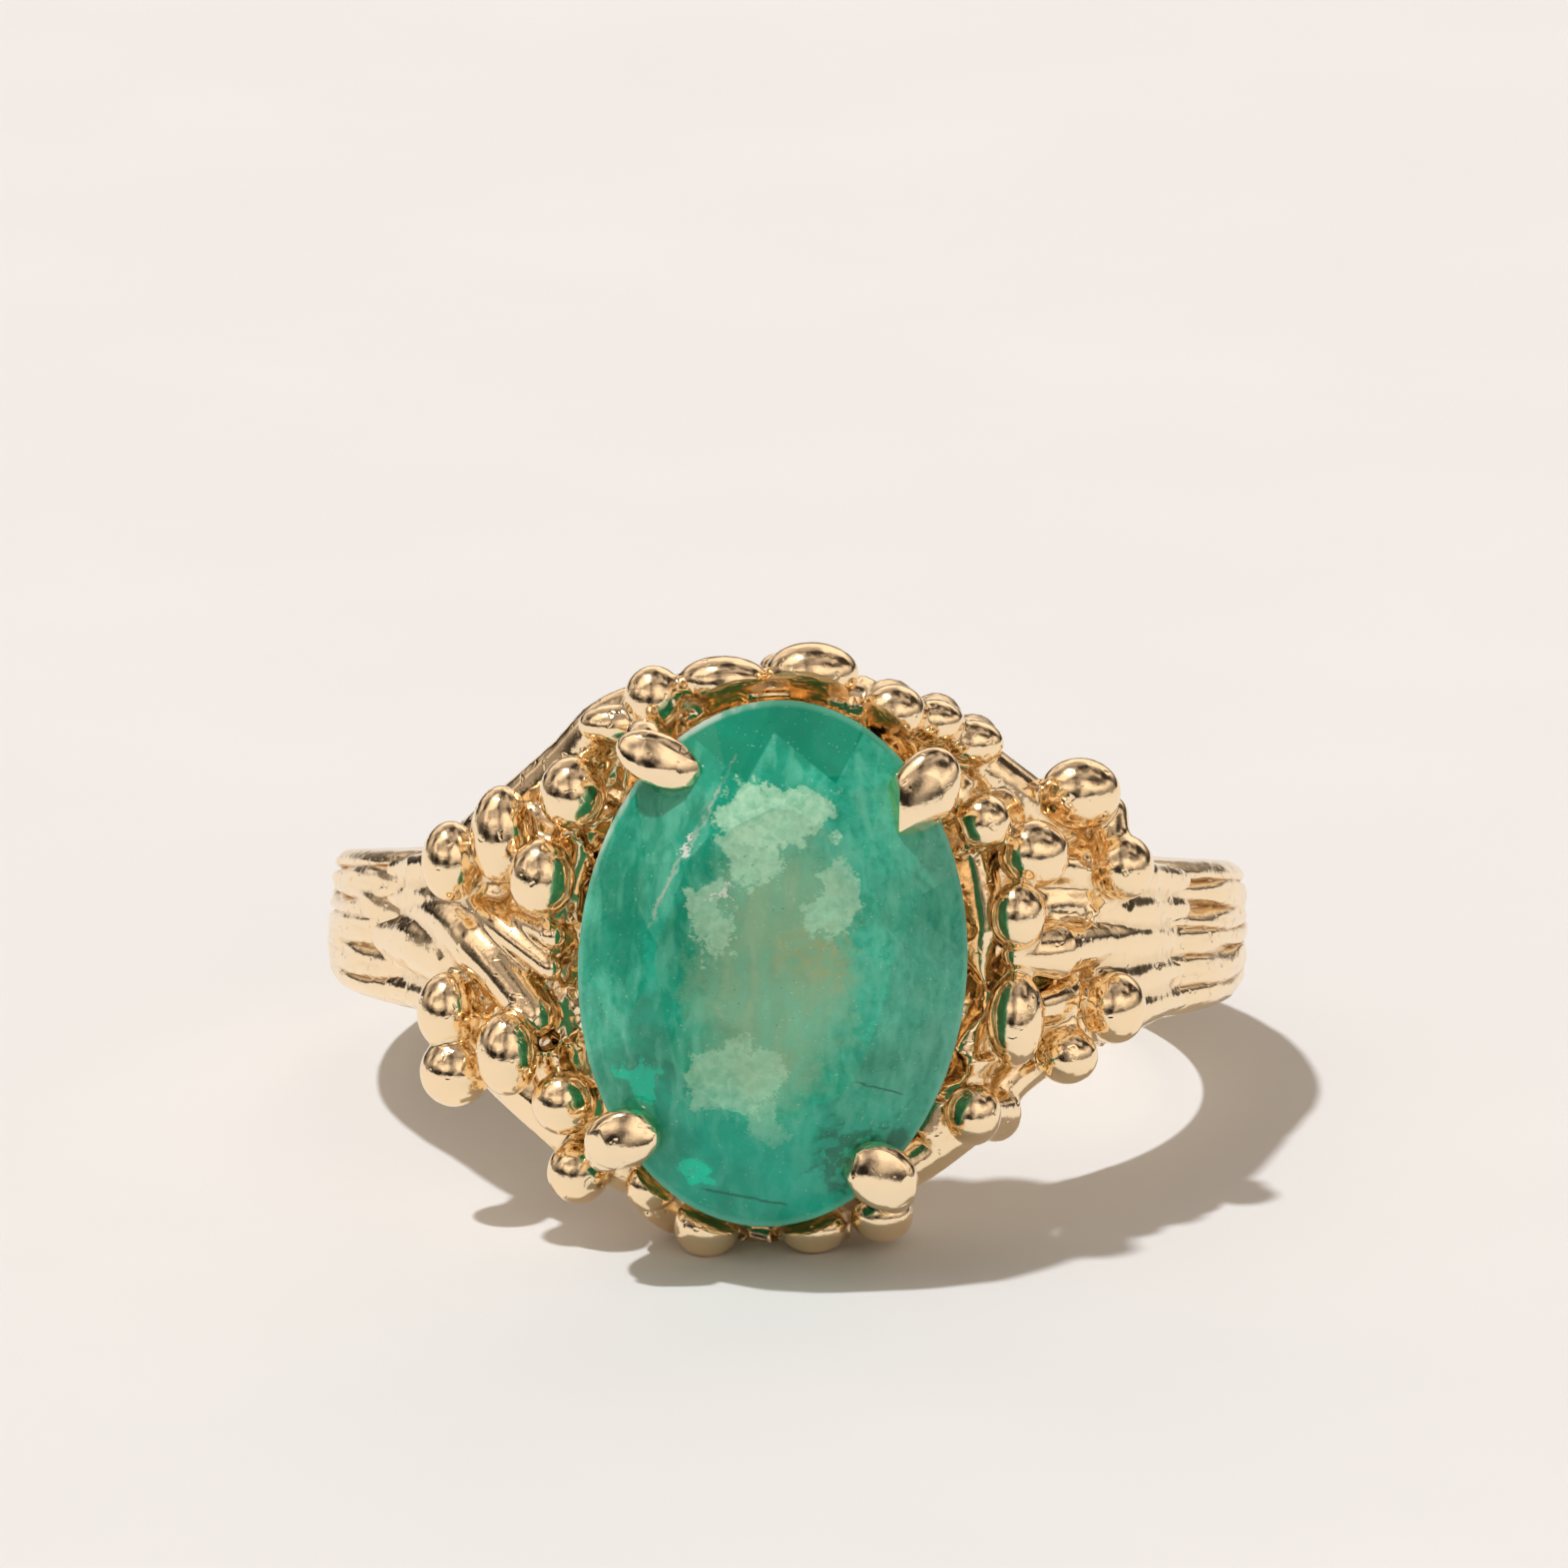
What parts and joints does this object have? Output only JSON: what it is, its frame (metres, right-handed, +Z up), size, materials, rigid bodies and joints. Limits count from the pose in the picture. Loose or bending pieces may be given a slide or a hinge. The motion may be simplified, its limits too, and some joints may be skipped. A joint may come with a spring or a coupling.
{
  "type": "cocktail ring",
  "caption": "Gold cocktail ring with a large oval green stone in claws, on a bark-grained band with ball-tipped twigs.",
  "frame": {"origin": "centre of the ring's overall box in plan, on the surface that the ring lies on", "axes": "+Z up from that surface; the ring lies on its side with the stone facing -Y and tipped about 14 degrees upwards; +X runs across the head"},
  "size_m": [0.0204, 0.0246, 0.0127],
  "materials": {
    "emerald": "polished",
    "bright_gold": "polished",
    "cast_gold": "polished",
    "bark_gold": "gloss"
  },
  "bodies": {
    "root": {"emerald": "emerald", "shank": "bark_gold", "basket_wall": "cast_gold", "shoulder_left": "cast_gold", "shoulder_right": "cast_gold", "rail_upper_left": "cast_gold", "rail_upper_right": "cast_gold", "rail_lower_left": "cast_gold", "rail_lower_right": "cast_gold", "ridge_left_upper": "cast_gold", "ridge_left_lower": "cast_gold", "ridge_left_small": "cast_gold", "ridge_right": "cast_gold", "gallery_rail": "cast_gold", "seat_rail": "cast_gold", "claw_upper_right": "bright_gold", "claw_upper_left": "bright_gold", "claw_lower_left": "bright_gold", "claw_lower_right": "bright_gold", "twig_top_left": "cast_gold", "twig_top": "cast_gold", "twig_top_right": "cast_gold", "twig_upper_right_crest": "cast_gold", "twig_upper_right_crest_2": "cast_gold", "twig_right_outer_high": "cast_gold", "twig_right_high": "cast_gold", "twig_right_middle_high": "cast_gold", "twig_right_outer": "cast_gold", "twig_right_inner": "cast_gold", "twig_right_inner_low": "cast_gold", "twig_right_outer_low": "cast_gold", "twig_right_low": "cast_gold", "twig_lower_right": "cast_gold", "twig_bottom_right": "cast_gold", "twig_bottom": "cast_gold", "twig_bottom_left": "cast_gold", "twig_lower_left_inner": "cast_gold", "twig_lower_left": "cast_gold", "twig_left_low": "cast_gold", "twig_left_middle_low": "cast_gold", "twig_left_outer_middle": "cast_gold", "twig_left_outer_low": "cast_gold", "twig_left_outer_high": "cast_gold", "twig_left_middle_high": "cast_gold", "twig_left_inner": "cast_gold", "twig_upper_left": "cast_gold", "twig_crown_left": "cast_gold"}
  },
  "joints": []
}
